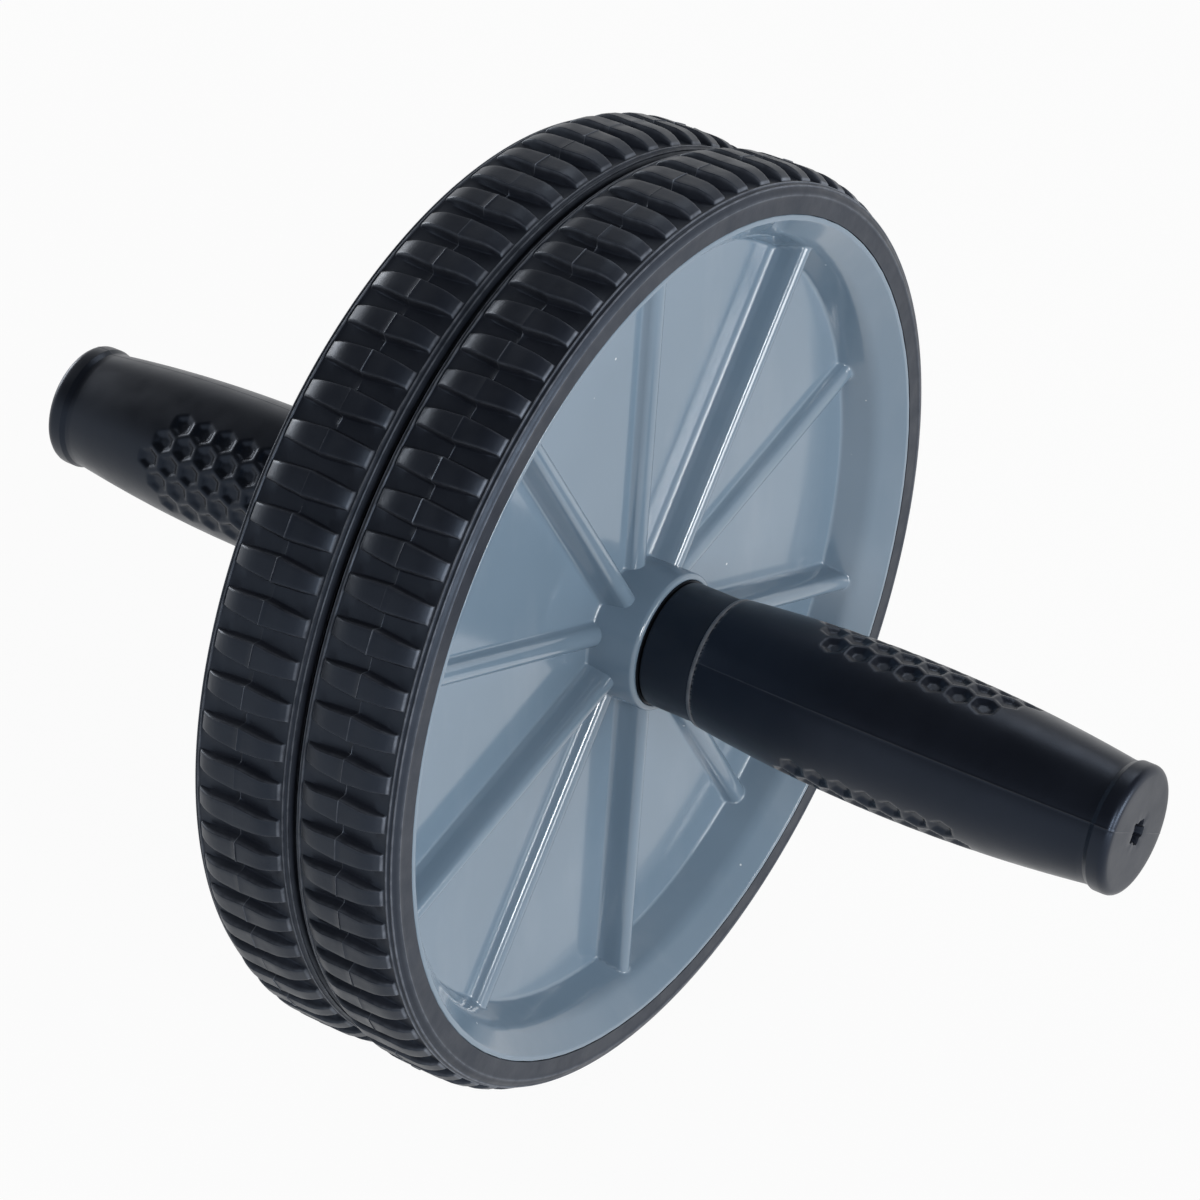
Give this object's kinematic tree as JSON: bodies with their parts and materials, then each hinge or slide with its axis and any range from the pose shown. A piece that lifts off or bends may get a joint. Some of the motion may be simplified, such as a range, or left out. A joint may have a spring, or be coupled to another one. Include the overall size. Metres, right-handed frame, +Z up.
{
  "type": "ab wheel roller",
  "caption": "Exercise roller: a pair of ribbed, rubber-tyred wheels on a through axle, with a soft barrel grip at each end for both hands.",
  "frame": {"origin": "middle of the axle, half-way between the two wheels", "axes": "+Y along the axle to the left handle, +X the way it rolls, +Z up"},
  "size_m": [0.185, 0.2422, 0.185],
  "materials": {
    "steel": "drawn round bar",
    "grey_plastic": "glossy blue-grey moulding",
    "black_plastic": "black moulding",
    "tyre_rubber": "charcoal rubber with moulded lugs",
    "grip_rubber": "soft black skin with a satin sheen"
  },
  "bodies": {
    "axle": {"axle_rod": "steel", "centre_washer": "black_plastic", "handle_core_left": "black_plastic", "handle_core_right": "black_plastic", "grip_left": "grip_rubber", "grip_right": "grip_rubber"},
    "wheel_left": {"wheel_left": "grey_plastic", "tyre_left": "tyre_rubber", "hub_bush_left": "black_plastic"},
    "wheel_right": {"wheel_right": "grey_plastic", "tyre_right": "tyre_rubber", "hub_bush_right": "black_plastic"}
  },
  "joints": [
    {"name": "wheel_left_spin", "type": "hinge", "parent": "axle", "child": "wheel_left", "pos_m": [0, 0.0121, 0], "axis": [0, 1, 0], "continuous": true},
    {"name": "wheel_right_spin", "type": "hinge", "parent": "axle", "child": "wheel_right", "pos_m": [0, -0.0121, 0], "axis": [0, 1, 0], "continuous": true}
  ]
}
